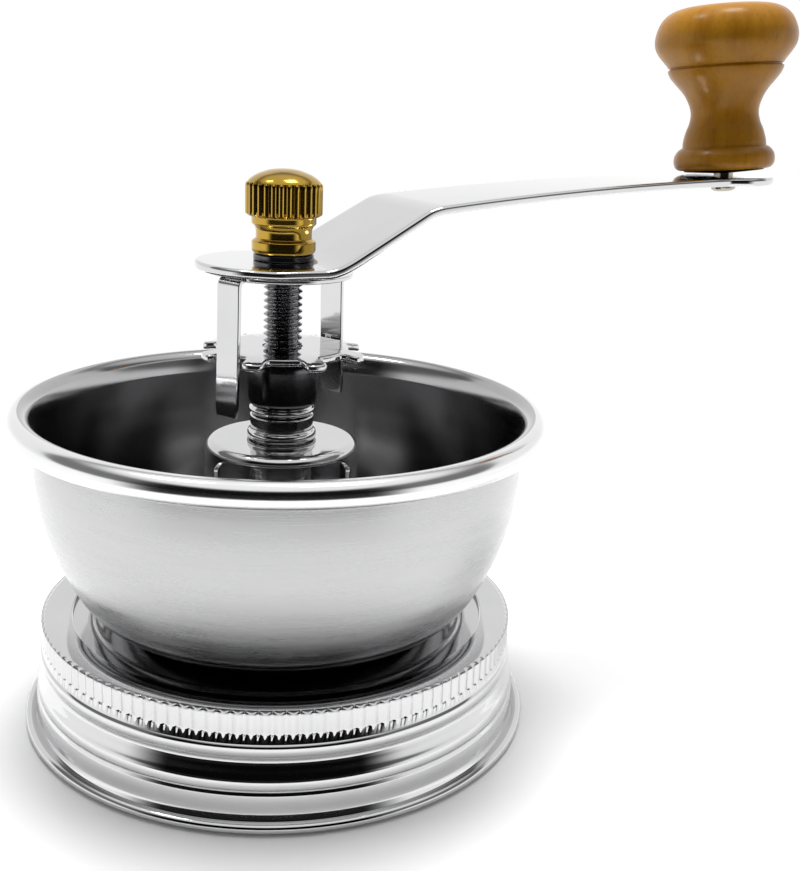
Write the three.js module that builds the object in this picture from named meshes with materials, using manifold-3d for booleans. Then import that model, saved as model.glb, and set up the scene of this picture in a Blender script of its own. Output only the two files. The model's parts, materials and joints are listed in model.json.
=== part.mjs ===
// Hand crank coffee mill that screws onto a wide-mouth jar in place of its lid.
// Millimetres, +Z up. The mill stands on its screw band's lip at z = 0 and the crank arm points along +X.
// The origin is the centre of the base of the bounding box, so the shaft's axis lies at negative x.
import * as THREE from 'three';
import { mergeVertices } from 'three/addons/utils/BufferGeometryUtils.js';
import Module from 'manifold-3d';

const wasm = await Module();
wasm.setup();

// ---------- driving dimensions ----------
const CLEARANCE = 0.3; // gap kept between pieces that touch

// Screw band and jar closure
const LIP_RADIUS = 45.7;
const GRIP_RADIUS = 42.25;
const BAND_SHEET = 0.6;
const BAND_HEIGHT = 19.2;
const BAND_OPENING_RADIUS = 36.9;
const THREAD_INNER_RADIUS = 41.25; // narrowest ring of the band's inner thread
const DISC_RADIUS = 40.7;
const DISC_SHEET = 0.7;
const DISC_STEP_RADIUS = 34.2;
const DISC_STEP_DEPTH = 0.9;
const GASKET_INNER_RADIUS = 37.4;
const GASKET_THICKNESS = 1.2;

// Hopper bowl
const BOWL_SHEET = 0.8;
const BOWL_FLOOR_RADIUS = 24.8;
const THROAT_RADIUS = 16; // hole through the bowl and the jar disc
const RIM_RADIUS = 44.73; // centre line of the rolled rim
const RIM_HEIGHT = 54.69;
const RIM_BEAD = 2.22;

// Bridge and its screws
const BRIDGE_AZIMUTH = -18; // direction of one leg, from the crank arm
const BRIDGE_RADIUS = 13.6;
const BRIDGE_TOP = 50.3;
const BRIDGE_SHEET = 1.2;
const BRIDGE_WINDOW = 23.6;
const FOOT_SHEET = 1;
const FOOT_RADIUS = 23.8;
const FOOT_WIDTH = 23;
const BOLT_CIRCLE_RADIUS = 20.6;
const BOLT_SPREAD = 21; // degrees from a leg's centre line to each of its screws
const SCREW_RADIUS = 1.5;
const SCREW_HEAD_RADIUS = 2.75;
const SCREW_HEAD_HEIGHT = 1.8;
const SCREW_NUT_RADIUS = 3.1;
const SCREW_NUT_HEIGHT = 2.2;

// Shaft, bushing and grind adjuster
const SHAFT_RADIUS = 3.35;
const SHAFT_BORE = 3.65; // running bore around the shaft
const SHAFT_FOOT_RADIUS = 2.9;
const SHAFT_BOTTOM = 1;
const SHAFT_TOP = 92;
const DRIVE_RADIUS = 3.1; // upper end of the shaft, with two flats
const DRIVE_FLATS = 4.8;
const SLEEVE_RADIUS = 5.6;
const SLEEVE_BOTTOM = 38;
const BUSHING_FLANGE_RADIUS = 6.15;
const BUSHING_TOP = 54.7;
const HUB_RADIUS = 6;
const HUB_BOTTOM = 56.7;
const WHEEL_RADIUS = 14.6;
const WHEEL_TOP = 66.8;
const WHEEL_THICKNESS = 1.3;
const NOTCH_COUNT = 8;
const NOTCH_ANGLE = 27;
const NOTCH_INNER_RADIUS = 11.5;

// Lock clip
const CLIP_AZIMUTH = 27;
const CLIP_RADIUS = 12;
const CLIP_TOP = 79.9;
const CLIP_SHEET = 0.7;
const CLIP_LEG_WIDTH = 5;
const CLIP_LEG_RADIUS = 13.1; // outer face of a leg
const CLIP_LEG_BOTTOM = 56.5;
const CLIP_BEND = 2;

// Crank arm
const ARM_LENGTH = 92.6; // shaft axis to knob pin
const ARM_SHEET = 1.5;
const ARM_TOP = 81.7;
const ARM_ROOT_RADIUS = 15.1;
const ARM_ROOT_FLAT = 14; // half-width where the root's round back meets the arm's sides
const ARM_END_RADIUS = 9.8;
const ARM_WAIST_X = 37; // control point of each long side's curve
const ARM_WAIST_WIDTH = 12.5;
const ARM_END_TOP = 96.7;
const NUT_WASHER_RADIUS = 4.3;

// Crank nut, knob and knob pin
const NUT_BOTTOM = 82.8;
const NUT_TOP = 96.9;
const KNOB_RADIUS = 13.5;
const KNOB_HEIGHT = 30.9;
const KNOB_LIFT = 1.1; // gap under the knob, which sits a little loose on its pin
const KNOB_LEAN_BACK = 3.6; // degrees towards the shaft
const KNOB_LEAN_SIDE = 4; // degrees towards +Y
const PIN_RADIUS = 1.9;
const PIN_LENGTH = 21;

// Burrs
const BURR_OUTER_RADIUS = 15.6;
const BURR_BOTTOM = 6;
const BURR_TOP = 18.2;
const CONE_BOTTOM = 5;
const CONE_BASE_TOP = 6.5;
const CONE_TOP = 17;
const CONE_HUB_TOP = 19;
const CONE_BASE_RADIUS = 12.6;
const CONE_TOP_RADIUS = 6.5;
const GRIND_GAP = 1.3; // radial gap between the burrs at the coarsest setting
const SPRING_WIRE = 0.55; // radius of the wire
const SPRING_RADIUS = 4.95;
const SPRING_TURNS = 6;

// ---------- heights of the clamped stack, from the top down ----------
const FLANGE_BOTTOM = BAND_HEIGHT - BAND_SHEET;
const DISC_TOP = FLANGE_BOTTOM - CLEARANCE;
const PANEL_TOP = DISC_TOP - DISC_STEP_DEPTH;
const PANEL_BOTTOM = PANEL_TOP - DISC_SHEET;
const GASKET_TOP = DISC_TOP - DISC_SHEET - CLEARANCE;
const GASKET_BOTTOM = GASKET_TOP - GASKET_THICKNESS;
const BOWL_BOTTOM = PANEL_TOP + CLEARANCE;
const FOOT_BOTTOM = BOWL_BOTTOM + BOWL_SHEET + CLEARANCE;
const FOOT_TOP = FOOT_BOTTOM + FOOT_SHEET;
const HOLDER_TOP = PANEL_BOTTOM - CLEARANCE;
const HOLDER_FLANGE = 1.2;
const SCREW_NUT_TOP = HOLDER_TOP - HOLDER_FLANGE - CLEARANCE;

// ---------- materials ----------
const steel = (color, roughness) => new THREE.MeshStandardMaterial({ color, roughness, metalness: 1 });
const polishedSteel = steel(0xd8d9da, 0.08);
const satinSteel = steel(0xc4c5c6, 0.28);
const darkSteel = steel(0x3a3b3d, 0.2);
const threadedSteel = steel(0x8b8c8e, 0.25);
const springSteel = steel(0x77797c, 0.35);
const brass = steel(0xc89a2c, 0.18);
const wood = new THREE.MeshStandardMaterial({ color: 0xb98a48, roughness: 0.35, metalness: 0 });
const rubber = new THREE.MeshStandardMaterial({ color: 0xd9d6cc, roughness: 0.6, metalness: 0 });
const ceramic = new THREE.MeshStandardMaterial({ color: 0xe9e6dc, roughness: 0.5, metalness: 0 });

// ---------- geometry helpers ----------
const radians = THREE.MathUtils.degToRad;
const point = (x, y) => new THREE.Vector2(x, y);

// Points of an arc in a profile's (radius, height) plane, angles in degrees from the outward direction.
function arc(centreRadius, centreHeight, radius, from, to, steps) {
  return Array.from({ length: steps + 1 }, (_, i) => {
    const angle = radians(from + ((to - from) * i) / steps);
    return [centreRadius + radius * Math.cos(angle), centreHeight + radius * Math.sin(angle)];
  });
}

// Smooth curve through a few (radius, height) points.
function smooth(points, divisions) {
  const curve = new THREE.SplineCurve(points.map(([r, z]) => point(r, z)));
  return curve.getPoints(divisions).map((p) => [Math.max(p.x, 0), p.y]);
}

// Closed profile revolved about the Z axis. Outer surfaces run upwards in the profile.
function revolve(profile, segments = 40) {
  const [firstRadius, firstHeight] = profile[0];
  const onAxis = firstRadius === 0 && profile[profile.length - 1][0] === 0;
  const closed = onAxis ? profile : [...profile, [firstRadius, firstHeight]];
  return new THREE.LatheGeometry(closed.map(([r, z]) => point(r, z)), segments).rotateX(Math.PI / 2);
}

// Flat ring or washer.
function ring(inner, outer, bottom, top, segments = 32) {
  return revolve([[inner, bottom], [outer, bottom], [outer, top], [inner, top]], segments);
}

// Solid disc or pin.
function rod(radius, bottom, top, segments = 20) {
  return revolve([[0, bottom], [radius, bottom], [radius, top], [0, top]], segments);
}

// Plan outline raised from one height to another.
function raise(shape, bottom, top, curveSegments = 16) {
  const options = { depth: top - bottom, bevelEnabled: false, curveSegments };
  return new THREE.ExtrudeGeometry(shape, options).translate(0, 0, bottom);
}

// Side outline, x outwards and y upwards, given a width across Y.
function widen(shape, width, curveSegments = 6) {
  const options = { depth: width, bevelEnabled: false, curveSegments };
  return new THREE.ExtrudeGeometry(shape, options).rotateX(Math.PI / 2).translate(0, width / 2, 0);
}

function rectangle(left, bottom, right, top) {
  return new THREE.Shape([point(left, bottom), point(right, bottom), point(right, top), point(left, top)]);
}

// Round outline with two flats, as the shaft's upper end has.
function flattened(radius, acrossFlats) {
  const angle = Math.asin(acrossFlats / 2 / radius);
  const shape = new THREE.Shape();
  shape.absarc(0, 0, radius, -angle, angle, false);
  shape.absarc(0, 0, radius, Math.PI - angle, Math.PI + angle, false);
  return shape;
}

function toSolid(geometry) {
  const plain = geometry.clone();
  plain.deleteAttribute('normal');
  plain.deleteAttribute('uv');
  const merged = mergeVertices(plain, 1e-4);
  const mesh = new wasm.Mesh({
    numProp: 3,
    vertProperties: new Float32Array(merged.attributes.position.array),
    triVerts: new Uint32Array(merged.index.array),
  });
  return new wasm.Manifold(mesh);
}

function fromSolid(solid) {
  const { vertProperties, triVerts, numProp } = solid.getMesh();
  const positions = new THREE.BufferAttribute(new Float32Array(vertProperties), numProp);
  const geometry = new THREE.BufferGeometry().setAttribute('position', positions);
  geometry.setIndex(new THREE.BufferAttribute(new Uint32Array(triVerts), 1));
  const flat = geometry.toNonIndexed();
  flat.computeVertexNormals();
  return flat;
}

const cut = (body, ...tools) => fromSolid(tools.reduce((s, t) => s.subtract(toSolid(t)), toSolid(body)));
const join = (first, ...rest) => fromSolid(rest.reduce((s, t) => s.add(toSolid(t)), toSolid(first)));
const overlap = (a, b) => fromSolid(toSolid(a).intersect(toSolid(b)));

function add(parent, name, geometry, material) {
  const mesh = new THREE.Mesh(geometry, material);
  mesh.name = name;
  parent.add(mesh);
  return mesh;
}

// ---------- screw band, jar disc and gasket ----------
function screwBand() {
  const outer = [
    [43.9, 0], [45.1, 0], ...arc(45, 1.2, LIP_RADIUS - 45, -45, 80, 3), [43.65, 3], [43.65, 6.2],
    [42.9, 7.8], [42, 9.1], [42.65, 11.9], [GRIP_RADIUS - 0.3, 14.6], [GRIP_RADIUS, 15.3],
    [GRIP_RADIUS, 18.3], [GRIP_RADIUS - 1.2, BAND_HEIGHT],
  ];
  const inner = [
    [BAND_OPENING_RADIUS, BAND_HEIGHT], [BAND_OPENING_RADIUS, FLANGE_BOTTOM],
    [GRIP_RADIUS - 1, FLANGE_BOTTOM], [GRIP_RADIUS - BAND_SHEET, 15.4], [THREAD_INNER_RADIUS, 14.4],
    [42, 12], [THREAD_INNER_RADIUS, 9.2], [43, 6], [43, 3], [43.3, 0.7],
  ];
  return revolve([...outer, ...inner]);
}

function jarDisc() {
  const rim = DISC_RADIUS;
  const panelEdge = DISC_STEP_RADIUS - DISC_SHEET;
  return revolve([
    [THROAT_RADIUS, PANEL_BOTTOM], [DISC_STEP_RADIUS, PANEL_BOTTOM],
    [DISC_STEP_RADIUS + DISC_SHEET, DISC_TOP - DISC_SHEET], [rim, DISC_TOP - DISC_SHEET],
    [rim, DISC_TOP], [DISC_STEP_RADIUS, DISC_TOP], [panelEdge, PANEL_TOP], [THROAT_RADIUS, PANEL_TOP],
  ]);
}

const jarGasket = () => ring(GASKET_INNER_RADIUS, DISC_RADIUS, GASKET_BOTTOM, GASKET_TOP, 40);

// ---------- hopper bowl ----------
function hopperBowl() {
  const wall = [
    [BOWL_FLOOR_RADIUS, BOWL_BOTTOM], [29.1, 19], [33.9, 21.5], [38.5, 29], [41.95, 40], [42.35, 47],
  ];
  const outer = smooth(wall, 7);
  const inner = smooth(wall.map(([r, z]) => [r - BOWL_SHEET, z + 0.35]), 6).reverse();
  const bead = arc(RIM_RADIUS, RIM_HEIGHT, RIM_BEAD, -110, 170, 7);
  return revolve([
    [THROAT_RADIUS, BOWL_BOTTOM], ...outer, [42.4, 52], ...bead, [41.7, 51], ...inner,
    [BOWL_FLOOR_RADIUS - 1.6, BOWL_BOTTOM + BOWL_SHEET], [THROAT_RADIUS, BOWL_BOTTOM + BOWL_SHEET],
  ]);
}

// ---------- bridge ----------
const boltAngles = [-BOLT_SPREAD, BOLT_SPREAD, 180 - BOLT_SPREAD, 180 + BOLT_SPREAD];

function boltPlace(index) {
  const angle = radians(BRIDGE_AZIMUTH + boltAngles[index]);
  return [BOLT_CIRCLE_RADIUS * Math.cos(angle), BOLT_CIRCLE_RADIUS * Math.sin(angle)];
}

const boltHole = (index, bottom, top) =>
  rod(SCREW_RADIUS + CLEARANCE, bottom, top, 12).translate(...boltPlace(index), 0);

const boltHoles = (bottom, top) => boltAngles.map((_, index) => boltHole(index, bottom, top));

// Rectangle whose upper corners are rounded.
function archedWindow(halfWidth, bottom, top, corner) {
  const shape = new THREE.Shape([point(-halfWidth, bottom), point(halfWidth, bottom)]);
  shape.lineTo(halfWidth, top - corner);
  shape.quadraticCurveTo(halfWidth, top, halfWidth - corner, top);
  shape.lineTo(corner - halfWidth, top);
  shape.quadraticCurveTo(-halfWidth, top, -halfWidth, top - corner);
  return shape;
}

function bridge() {
  const underTop = BRIDGE_TOP - BRIDGE_SHEET;
  const innerRadius = BRIDGE_RADIUS - BRIDGE_SHEET;
  const hat = revolve([
    [innerRadius, FOOT_BOTTOM], [FOOT_RADIUS, FOOT_BOTTOM], [FOOT_RADIUS, FOOT_TOP],
    [BRIDGE_RADIUS, FOOT_TOP], ...arc(BRIDGE_RADIUS - 1.5, BRIDGE_TOP - 1.5, 1.5, 0, 90, 3),
    [10.5, BRIDGE_TOP], [10.5, underTop], [innerRadius, underTop],
  ]);
  const slab = raise(rectangle(-30, -FOOT_WIDTH / 2, 30, FOOT_WIDTH / 2), 0, 60);
  const window = widen(archedWindow(BRIDGE_WINDOW / 2, 10, underTop, 3), 60);
  const legs = fromSolid(toSolid(hat).intersect(toSolid(slab)).subtract(toSolid(window)));
  const top = ring(SLEEVE_RADIUS + CLEARANCE, BRIDGE_RADIUS - 0.3, underTop, BRIDGE_TOP, 40);
  const standing = join(legs, top).rotateZ(radians(BRIDGE_AZIMUTH));
  return cut(standing, ...boltHoles(FOOT_BOTTOM - 1, FOOT_TOP + 1));
}

function bridgeScrew() {
  const seat = FOOT_TOP + CLEARANCE;
  const bottom = SCREW_NUT_TOP - SCREW_NUT_HEIGHT - 0.6;
  return revolve([
    [0, bottom], [SCREW_RADIUS, bottom], [SCREW_RADIUS, seat], [SCREW_HEAD_RADIUS, seat],
    [SCREW_HEAD_RADIUS, seat + 0.8], [SCREW_HEAD_RADIUS - 0.9, seat + SCREW_HEAD_HEIGHT - 0.2],
    [0, seat + SCREW_HEAD_HEIGHT],
  ], 12);
}

function hexNut(radius, bore, bottom, top) {
  const outline = Array.from({ length: 6 }, (_, i) =>
    point(radius * Math.cos((i * Math.PI) / 3), radius * Math.sin((i * Math.PI) / 3)));
  return cut(raise(new THREE.Shape(outline), bottom, top), rod(bore, bottom - 1, top + 1, 12));
}

// ---------- shaft bushing, thrust washer and adjuster ----------
function shaftBushing() {
  const flangeBottom = BRIDGE_TOP + CLEARANCE;
  const flangeTop = flangeBottom + 1.3;
  return revolve([
    [SHAFT_BORE, SLEEVE_BOTTOM], [SLEEVE_RADIUS, SLEEVE_BOTTOM], [SLEEVE_RADIUS, flangeBottom],
    [BUSHING_FLANGE_RADIUS, flangeBottom + 0.2], [BUSHING_FLANGE_RADIUS, flangeTop - 0.2],
    [SLEEVE_RADIUS + 0.15, flangeTop], [SLEEVE_RADIUS + 0.25, BUSHING_TOP], [SHAFT_BORE, BUSHING_TOP],
  ], 24);
}

const thrustWasher = () =>
  ring(SHAFT_BORE, SLEEVE_RADIUS + 0.2, BUSHING_TOP + CLEARANCE, HUB_BOTTOM - CLEARANCE, 24);

function adjusterHub() {
  const top = WHEEL_TOP - WHEEL_THICKNESS - CLEARANCE;
  return revolve([
    [SHAFT_BORE, HUB_BOTTOM], [HUB_RADIUS - 0.5, HUB_BOTTOM], [HUB_RADIUS, HUB_BOTTOM + 0.6],
    [HUB_RADIUS, top - 0.9], [HUB_RADIUS - 0.9, top], [SHAFT_BORE, top],
  ], 24);
}

function adjusterPlate() {
  const pitch = 360 / NOTCH_COUNT;
  const shape = new THREE.Shape();
  for (let i = 0; i < NOTCH_COUNT; i++) {
    const notch = CLIP_AZIMUTH + i * pitch;
    const [start, end] = [notch - NOTCH_ANGLE / 2, notch + NOTCH_ANGLE / 2];
    shape.absarc(0, 0, NOTCH_INNER_RADIUS, radians(start), radians(end), false);
    shape.absarc(0, 0, WHEEL_RADIUS, radians(end), radians(start + pitch), false);
  }
  shape.closePath();
  const plate = raise(shape, WHEEL_TOP - WHEEL_THICKNESS, WHEEL_TOP, 4);
  return cut(plate, rod(SHAFT_BORE, WHEEL_TOP - 5, WHEEL_TOP + 5, 24));
}

function driveShaft() {
  const shoulder = CLIP_TOP - CLIP_SHEET - CLEARANCE;
  const lower = revolve([
    [0, SHAFT_BOTTOM], [SHAFT_FOOT_RADIUS, SHAFT_BOTTOM], [SHAFT_FOOT_RADIUS, CONE_BOTTOM - 0.15],
    [SHAFT_RADIUS, CONE_BOTTOM - 0.15], [SHAFT_RADIUS, shoulder], [0, shoulder],
  ], 24);
  return join(lower, raise(flattened(DRIVE_RADIUS, DRIVE_FLATS), shoulder - 1, SHAFT_TOP, 6));
}

// ---------- lock clip ----------
function clipLeg() {
  const inner = CLIP_LEG_RADIUS - CLIP_SHEET;
  const bottom = CLIP_TOP - CLIP_SHEET;
  const shape = new THREE.Shape([point(8, bottom), point(inner - CLIP_BEND + CLIP_SHEET, bottom)]);
  shape.quadraticCurveTo(inner, bottom, inner, CLIP_TOP - CLIP_BEND);
  shape.lineTo(inner, CLIP_LEG_BOTTOM);
  shape.lineTo(CLIP_LEG_RADIUS, CLIP_LEG_BOTTOM);
  shape.lineTo(CLIP_LEG_RADIUS, CLIP_TOP - CLIP_BEND);
  shape.quadraticCurveTo(CLIP_LEG_RADIUS, CLIP_TOP, CLIP_LEG_RADIUS - CLIP_BEND, CLIP_TOP);
  shape.lineTo(8, CLIP_TOP);
  return widen(shape, CLIP_LEG_WIDTH, 4);
}

const driveHole = (bottom, top) =>
  raise(flattened(DRIVE_RADIUS + CLEARANCE, DRIVE_FLATS + 2 * CLEARANCE), bottom, top, 6);

function lockClip() {
  const disc = rod(CLIP_RADIUS, CLIP_TOP - CLIP_SHEET, CLIP_TOP, 32);
  const legs = [0, 180].map((turn) => clipLeg().rotateZ(radians(CLIP_AZIMUTH + turn)));
  return cut(join(disc, ...legs), driveHole(CLIP_TOP - 5, CLIP_TOP + 5));
}

// ---------- crank arm ----------
// Upper side of the strip: flat root, steep rise, then a long flattening bow.
function armTopLine() {
  const path = new THREE.Path([point(-ARM_ROOT_RADIUS - 1, ARM_TOP), point(3.6, ARM_TOP)]);
  path.quadraticCurveTo(4.6, ARM_TOP, 5.8, ARM_TOP + 0.7);
  path.lineTo(20.4, ARM_TOP + 9.05);
  path.quadraticCurveTo(21.9, ARM_TOP + 9.9, 24.4, ARM_TOP + 10.2);
  path.quadraticCurveTo(62, ARM_TOP + 14.5, ARM_LENGTH + ARM_END_RADIUS + 1, ARM_END_TOP + 0.2);
  return path.getPoints(6);
}

// Strip of even thickness below a line of points.
function stripBelow(line, thickness) {
  const lower = line.map((p, i) => {
    const along = line[Math.min(i + 1, line.length - 1)].clone().sub(line[Math.max(i - 1, 0)]).normalize();
    return point(p.x + along.y * thickness, p.y - along.x * thickness);
  });
  return new THREE.Shape([...lower, ...line.slice().reverse()]);
}

function armOutline() {
  const rootAngle = Math.asin(ARM_ROOT_FLAT / ARM_ROOT_RADIUS);
  const endAngle = radians(120);
  const rootX = ARM_ROOT_RADIUS * Math.cos(rootAngle);
  const endX = ARM_LENGTH + ARM_END_RADIUS * Math.cos(endAngle);
  const endY = ARM_END_RADIUS * Math.sin(endAngle);
  const shape = new THREE.Shape();
  shape.absarc(0, 0, ARM_ROOT_RADIUS, Math.PI - rootAngle, Math.PI + rootAngle, false);
  shape.lineTo(rootX, -ARM_ROOT_FLAT);
  shape.quadraticCurveTo(ARM_WAIST_X, -ARM_WAIST_WIDTH, endX, -endY);
  shape.absarc(ARM_LENGTH, 0, ARM_END_RADIUS, -endAngle, endAngle, false);
  shape.quadraticCurveTo(ARM_WAIST_X, ARM_WAIST_WIDTH, rootX, ARM_ROOT_FLAT);
  return shape;
}

function crankArm() {
  const strip = widen(stripBelow(armTopLine(), ARM_SHEET), 40);
  const blank = overlap(strip, raise(armOutline(), ARM_TOP - 10, ARM_END_TOP + 10, 14));
  const pinHole = rod(PIN_RADIUS + 0.4, ARM_END_TOP - 10, ARM_END_TOP + 10, 20).translate(ARM_LENGTH, 0, 0);
  return cut(blank, driveHole(ARM_TOP - 5, ARM_TOP + 5), pinHole);
}

const nutWasher = () =>
  ring(DRIVE_RADIUS + 0.35, NUT_WASHER_RADIUS, ARM_TOP + CLEARANCE, NUT_BOTTOM - CLEARANCE, 20);

// ---------- crank nut ----------
function crankNut() {
  const bore = DRIVE_RADIUS + 0.35;
  const boreTop = SHAFT_TOP + 0.6;
  return revolve([
    [bore, NUT_BOTTOM], [5.1, NUT_BOTTOM], [5.45, 83.2], [5.45, 84.9], [4.7, 85.6], [4.7, 87],
    [5.55, 87.5], [5.55, 89.1], [6.5, 89.8], [6.5, 93.8], [5.9, 94.8], [4.4, 96.1], [2.2, 96.8],
    [0, NUT_TOP], [0, boreTop], [bore, boreTop],
  ], 24);
}

// ---------- knob and its pin, built upwards from the arm's upper face ----------
function woodenKnob() {
  const outline = smooth([
    [8.7, 0], [9.75, 1.2], [9.75, 2.6], [8.5, 4.1], [7.95, 5.4], [7.3, 7.6], [6.5, 10.6], [7, 13],
    [9.6, 16.6], [11, 18.9], [11.6, 20.6], [KNOB_RADIUS, 24.2], [12.2, 28.6], [9.2, 30.4],
    [4, KNOB_HEIGHT], [0, KNOB_HEIGHT],
  ], 24);
  const bore = PIN_RADIUS + 0.35;
  const depth = PIN_LENGTH + 0.5;
  const profile = [...outline, [0, depth], [bore, depth], [bore, 0]];
  return revolve(profile.map(([r, z]) => [r, z + KNOB_LIFT]), 24);
}

function knobPin() {
  const headTop = -ARM_SHEET - CLEARANCE;
  return revolve([
    [0, headTop - 1.5], [2.1, headTop - 1.5], [2.45, headTop - 1.2], [2.45, headTop],
    [PIN_RADIUS, headTop], [PIN_RADIUS, PIN_LENGTH], [0, PIN_LENGTH],
  ], 16);
}

// ---------- burrs, holder and spring ----------
const coneSlope = (CONE_BASE_RADIUS - CONE_TOP_RADIUS) / (CONE_TOP - CONE_BASE_TOP);

function outerBurr() {
  const throat = 12;
  const throatRadius = CONE_BASE_RADIUS - coneSlope * (throat - CONE_BASE_TOP) + GRIND_GAP;
  const mouth = CONE_BASE_RADIUS + GRIND_GAP;
  return revolve([
    [mouth, BURR_BOTTOM], [BURR_OUTER_RADIUS, BURR_BOTTOM], [BURR_OUTER_RADIUS, BURR_TOP],
    [BURR_OUTER_RADIUS - 2.2, BURR_TOP], [throatRadius, throat], [mouth, CONE_BASE_TOP],
  ], 32);
}

function innerBurr() {
  return revolve([
    [SHAFT_BORE, CONE_BOTTOM], [CONE_BASE_RADIUS, CONE_BOTTOM], [CONE_BASE_RADIUS, CONE_BASE_TOP],
    [CONE_TOP_RADIUS, CONE_TOP], [CONE_TOP_RADIUS, CONE_HUB_TOP], [SHAFT_BORE, CONE_HUB_TOP],
  ], 32);
}

function burrHolder() {
  const inner = BURR_OUTER_RADIUS + CLEARANCE;
  const outer = inner + 1.3;
  const lip = inner - 1.6;
  const lipTop = BURR_BOTTOM - CLEARANCE;
  const body = revolve([
    [lip, lipTop - 1.1], [outer, lipTop - 1.1], [outer, HOLDER_TOP - HOLDER_FLANGE],
    [FOOT_RADIUS, HOLDER_TOP - HOLDER_FLANGE], [FOOT_RADIUS, HOLDER_TOP], [inner, HOLDER_TOP],
    [inner, lipTop], [lip, lipTop],
  ], 32);
  return cut(body, ...boltHoles(HOLDER_TOP - 5, HOLDER_TOP + 5));
}

class Coil extends THREE.Curve {
  constructor(radius, bottom, top, turns) {
    super();
    Object.assign(this, { radius, bottom, top, turns });
  }

  getPoint(t, target = new THREE.Vector3()) {
    const angle = 2 * Math.PI * this.turns * t;
    const height = this.bottom + (this.top - this.bottom) * t;
    return target.set(this.radius * Math.cos(angle), this.radius * Math.sin(angle), height);
  }
}

function burrSpring(bottom, top) {
  const section = new THREE.Shape().absarc(0, 0, SPRING_WIRE, 0, 2 * Math.PI, false);
  const path = new Coil(SPRING_RADIUS, bottom + SPRING_WIRE, top - SPRING_WIRE, SPRING_TURNS);
  const options = { steps: SPRING_TURNS * 12, bevelEnabled: false, curveSegments: 3, extrudePath: path };
  return new THREE.ExtrudeGeometry(section, options);
}

const springBottom = CONE_HUB_TOP + 2 * CLEARANCE + 0.8;
const burrWasherTop = CONE_BOTTOM - CLEARANCE;
const burrNutTop = burrWasherTop - 0.7 - CLEARANCE;

const springWasher = () => ring(SHAFT_BORE, 6.4, CONE_HUB_TOP + CLEARANCE, springBottom - CLEARANCE, 24);
const burrWasher = () => ring(SHAFT_FOOT_RADIUS + CLEARANCE, 6, burrWasherTop - 0.7, burrWasherTop, 24);
const burrNut = () => hexNut(5.2, SHAFT_FOOT_RADIUS + CLEARANCE, burrNutTop - 2.3, burrNutTop);

// ---------- assembly ----------
const mill = new THREE.Group();
add(mill, 'screw_band', screwBand(), polishedSteel);
add(mill, 'jar_disc', cut(jarDisc(), ...boltHoles(PANEL_BOTTOM - 1, PANEL_TOP + 1)), satinSteel);
add(mill, 'jar_gasket', jarGasket(), rubber);
add(mill, 'hopper_bowl', cut(hopperBowl(), ...boltHoles(BOWL_BOTTOM - 1, FOOT_BOTTOM + 1)), satinSteel);
add(mill, 'bridge', bridge(), polishedSteel);
boltAngles.forEach((_, index) => {
  const screw = add(mill, `bridge_screw_${index + 1}`, bridgeScrew(), polishedSteel);
  screw.position.set(...boltPlace(index), 0);
  const nutBottom = SCREW_NUT_TOP - SCREW_NUT_HEIGHT;
  const nut = hexNut(SCREW_NUT_RADIUS, SCREW_RADIUS + CLEARANCE, nutBottom, SCREW_NUT_TOP);
  add(mill, `holder_nut_${index + 1}`, nut, satinSteel).position.copy(screw.position);
});

add(mill, 'shaft_bushing', shaftBushing(), polishedSteel);
add(mill, 'thrust_washer', thrustWasher(), polishedSteel);
add(mill, 'adjuster_hub', adjusterHub(), darkSteel);
add(mill, 'adjuster_plate', adjusterPlate(), polishedSteel);
add(mill, 'drive_shaft', driveShaft(), threadedSteel);
add(mill, 'lock_clip', lockClip(), polishedSteel);
add(mill, 'crank_arm', crankArm(), polishedSteel);
add(mill, 'nut_washer', nutWasher(), satinSteel);
add(mill, 'crank_nut', crankNut(), brass);

const knobMount = new THREE.Group();
knobMount.position.set(ARM_LENGTH, 0, ARM_END_TOP);
knobMount.rotation.set(-radians(KNOB_LEAN_SIDE), -radians(KNOB_LEAN_BACK), 0);
mill.add(knobMount);
add(knobMount, 'knob', woodenKnob(), wood);
add(knobMount, 'knob_pin', knobPin(), satinSteel);

add(mill, 'burr_holder', burrHolder(), satinSteel);
add(mill, 'outer_burr', outerBurr(), ceramic);
add(mill, 'inner_burr', innerBurr(), ceramic);
add(mill, 'spring_washer', springWasher(), satinSteel);
add(mill, 'burr_spring', burrSpring(springBottom, SLEEVE_BOTTOM - CLEARANCE), springSteel);
add(mill, 'burr_washer', burrWasher(), satinSteel);
add(mill, 'burr_nut', burrNut(), satinSteel);

// The bounding box is centred on the origin along X.
const box = new THREE.Box3().setFromObject(mill, true);
mill.position.x = -(box.min.x + box.max.x) / 2;

const group = new THREE.Group();
group.add(mill);
export default group;
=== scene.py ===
import json
import math

import bmesh
import bpy
import numpy as np
from mathutils import Matrix, Vector


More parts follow.
